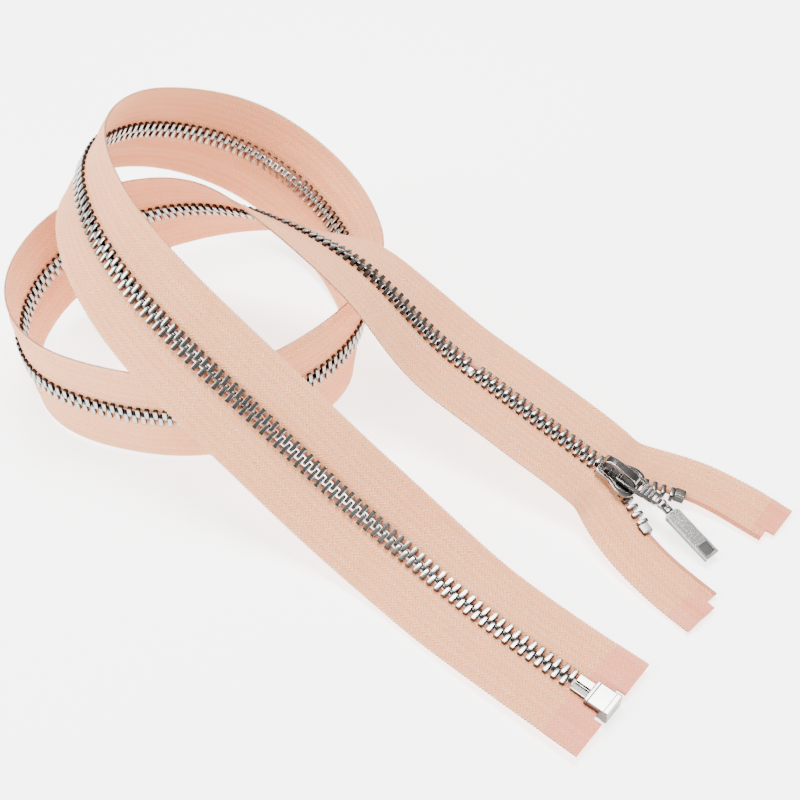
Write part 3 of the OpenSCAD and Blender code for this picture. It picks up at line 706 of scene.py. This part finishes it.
o = join("slider_bridge", [bar_along(path[::-1], wd, ht, 0.3, 4)], M_SLIDER, SL, 30)
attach(o, "slider"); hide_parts("slider_crown")
path = spline2([(-2.1, 4.28), (-0.6, 4.42), (1.2, 4.4), (2.3, 4.34), (2.55, 4.1), (2.3, 3.4), (2.2, 2.4), (2.2, 1.6)], 4)
o = join("lock_leaf", [bar_along(path, np.linspace(1.6, 0.9, len(path)), np.full(len(path), 0.34), 0.1, 2)], M_SPRING, SL, 30)
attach(o, "lock"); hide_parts("lock_spring")

# ---------------------------------------------------------------- pull
LINK_X, LINK_Z, RING_X, RING_D = -0.6, 3.45, 12.45, 1.85
LK = SL @ Matrix.Translation((LINK_X, 0, LINK_Z)) @ Matrix.Rotation(math.pi, 4, "Z")
half = [(-0.45, 2.45), (0.2, 2.75), (2.5, 2.85), (5.6, 2.85), (7.0, 2.6), (8.6, 2.3), (10.6, 2.1), (12.0, 1.95), (12.8, 1.35), (13.0, 0.5)]
outer = half + mir(half)
hole = [(-0.9, 1.65), (6.2, 1.62), (6.75, 1.2), (6.9, 0.0), (6.75, -1.2), (6.2, -1.62), (-0.9, -1.65)]
outer_u = [(-0.45, 1.66), (-0.45, 2.45)] + half[1:] + mir(half)[:-1] + [(-0.45, -2.45), (-0.45, -1.66)] + [(6.0, -1.62), (6.6, -1.2), (6.85, 0.0), (6.6, 1.2), (6.0, 1.62)]
eye = smooth_loop([(10.6, 0.95), (10.6, -0.95), (11.85, -0.95), (11.85, 0.95)], 3)
link = prism("t", [outer_u, [(10.6, 1.0), (12.0, 1.0), (12.0, -1.0), (10.6, -1.0)]], -0.4, 0.42, 0.14, None)
arms = [prism("t", [[(x, sg * y) for x, y in ([(0.0, 1.85), (6.2, 1.9), (7.2, 0.9), (10.0, 0.8), (10.0, 1.95), (8.6, 2.1), (5.6, 2.62), (0.2, 2.55)][::sg])]], 0.2, 0.5, 0.1, None) for sg in (1, -1)]
pinm = loft([[(0.6 * math.cos(a), y, 0.6 * math.sin(a)) for a in np.linspace(0, 2 * math.pi, 24, endpoint=False)] for y in (-2.3, 2.3)])
hinge_bar = loft([[(12.45 + 0.48 * math.cos(a), y, 0.48 * math.sin(a)) for a in np.linspace(0, 2 * math.pi, 20, endpoint=False)] for y in (-1.3, 1.3)])
o = join("pull_link_body", [link, pinm, hinge_bar] + arms, M_LINK, LK, 20)
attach(o, "link"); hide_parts("pull_link")
# painted highlight: the ribs on the link are a lighter copy of the link metal
bars = []
for x0, hw in ((7.3, 1.95), (8.5, 1.8), (9.7, 1.65)):
    bars.append(loft([[(x0 + a, y, 0.5 + b) for a, b in rrect(0.33, 0.34, 0.22, 3)] for y in (-hw, -hw + 0.12, hw - 0.12, hw)]))
o = join("pull_link_ribs", bars, M_RIB_HIGHLIGHT, LK, 28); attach(o, "link")
RG = LK @ Matrix.Translation((RING_X, 0, 0)) @ Matrix.Rotation(math.radians(-8), 4, "Z")
g, h, RR = 40, 12, 1.9
V = [((0.85 + (RR + 0.3 * math.cos(b)) * math.cos(a)), 0.3 * math.sin(b), (RR + 0.3 * math.cos(b)) * math.sin(a)) for a in np.linspace(0, 2 * math.pi, g, endpoint=False) for b in np.linspace(0, 2 * math.pi, h, endpoint=False)]
F = [(i * h + j, i * h + (j + 1) % h, ((i + 1) % g) * h + (j + 1) % h, ((i + 1) % g) * h + j) for i in range(g) for j in range(h)]
o = join("pull_ring_wire", [solid(V, F)], M_LINK, RG, 60)
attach(o, "ring"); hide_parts("pull_ring")
BR = RG @ Matrix.Translation((RING_D, 0, 0)) @ Matrix.Rotation(math.radians(2), 4, "Y") @ Matrix.Rotation(math.radians(-3), 4, "Z")
bl, bw = 18.3, 2.5
lug = [(3.0, 2.3), (2.2, 1.3), (-0.45, 1.2), (-0.75, 0.9), (-0.75, -0.9), (-0.45, -1.2), (2.2, -1.3), (3.0, -2.3)]
lug_pl = prism("t", [lug, [(0.35, -0.65), (0.35, 0.65), (1.75, 0.65), (1.75, -0.65)]], -0.4, 0.4, 0.1, None)
lug_pin = loft([[(0.45 * math.cos(a), y, 0.45 * math.sin(a)) for a in np.linspace(0, 2 * math.pi, 20, endpoint=False)] for y in (-1.1, 1.1)])
recess = [(bl - 4.2, -1.65), (bl - 0.85, -1.65), (bl - 0.85, 1.65), (bl - 4.2, 1.65)]
body = [(2.25, -1.4), (3.0, -bw), (bl - 0.15, -bw), (bl, -bw + 0.15), (bl, bw - 0.15), (bl - 0.15, bw), (3.0, bw), (2.25, 1.4)]
# painted shade: the body under the bright face, and the lug, take the dark copy of the bar metal
core = prism("t", [body], -0.75, 0.3, 0.12, None)
o = join("pull_bar_body", [core, lug_pl, lug_pin], M_BAR_BODY_SHADE, BR, 20)
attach(o, "bar"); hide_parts("pull_bar")
face = [(2.6, -bw + 0.3), (bl - 0.12, -bw + 0.12), (bl - 0.12, bw - 0.12), (2.6, bw - 0.3)]
skin = prism("t", [body, recess], 0.22, 0.75, 0.16, None)
o = join("pull_bar_face", [skin], M_BAR, BR, 20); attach(o, "bar")
# painted shade: a dark floor in the bar's recess
floor_of = prism("t", [[(bl - 4.3, -1.75), (bl - 0.75, -1.75), (bl - 0.75, 1.75), (bl - 4.3, 1.75)]], 0.2, 0.36, 0.02, None)
o = join("pull_bar_recess", [floor_of], M_RECESS_SHADE, BR, 28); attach(o, "bar")

# ---------------------------------------------------------------- floor, light, camera
q = Nodes("floor_white")
d = q.n("BsdfPrincipled"); d.inputs["Base Color"].default_value = (0.93, 0.925, 0.92, 1); d.inputs["Roughness"].default_value = 0.9
d.inputs["Emission Color"].default_value = (1, 0.99, 0.98, 1); d.inputs["Emission Strength"].default_value = 3.0
q.link(d.outputs[0], q.out.inputs["Surface"])
fl = add_mesh("floor", [(-3000, -3000, -0.05), (3000, -3000, -0.05), (3000, 3000, -0.05), (-3000, 3000, -0.05)], [(0, 1, 2, 3)], q.m, smooth=False)

world = bpy.data.worlds.new("studio"); bpy.context.scene.world = world; world.use_nodes = True
nt = world.node_tree; nt.nodes.clear()
wo, bg, tc, sp = nt.nodes.new("ShaderNodeOutputWorld"), nt.nodes.new("ShaderNodeBackground"), nt.nodes.new("ShaderNodeTexCoord"), nt.nodes.new("ShaderNodeSeparateXYZ")
rp = nt.nodes.new("ShaderNodeValToRGB")
nt.links.new(tc.outputs["Generated"], sp.inputs[0]); nt.links.new(sp.outputs[2], rp.inputs[0])
e = rp.color_ramp.elements; e[0].position, e[0].color = 0.0, (0.75, 0.75, 0.75, 1); e[1].position, e[1].color = 1.0, (0.9, 0.9, 0.9, 1)
x = e.new(0.35); x.color = (0.25, 0.25, 0.25, 1)
x = e.new(0.72); x.color = (0.30, 0.30, 0.30, 1)
nt.links.new(rp.outputs[0], bg.inputs["Color"]); bg.inputs["Strength"].default_value = 0.75
nt.links.new(bg.outputs[0], wo.inputs["Surface"])


def area(name, loc, target, size, power, col=(1, 1, 1)):
    l = bpy.data.lights.new(name, "AREA"); l.shape = "RECTANGLE"; l.size, l.size_y = size; l.energy = power; l.color = col
    o = bpy.data.objects.new(name, l); bpy.context.scene.collection.objects.link(o)
    o.location = loc; o.rotation_euler = (Vector(target) - Vector(loc)).to_track_quat("-Z", "Y").to_euler()
    return o


area("top_soft", (0.05, 0.25, 0.75), (0, 0, 0), (0.5, 0.35), 16.5)
area("left_soft", (-0.7, -0.15, 0.45), (0, 0, 0.02), (0.35, 0.6), 12.0)
area("front_soft", (0.45, -0.65, 0.35), (0, 0, 0.02), (0.5, 0.3), 5.0)

cam = bpy.data.cameras.new("camera"); cam.sensor_width = 36; cam.lens = 1198 / 800 * 36; cam.clip_start, cam.clip_end = 0.01, 20
co = bpy.data.objects.new("camera", cam); bpy.context.scene.collection.objects.link(co)
el = math.radians(46.42)
co.location = (ORIGIN[0] * 0.001, ORIGIN[1] * 0.001 - 0.3608 * math.cos(el), ORIGIN[2] * 0.001 + 0.3608 * math.sin(el))
co.rotation_euler = (math.pi / 2 - el, 0, 0)
bpy.context.scene.camera = co
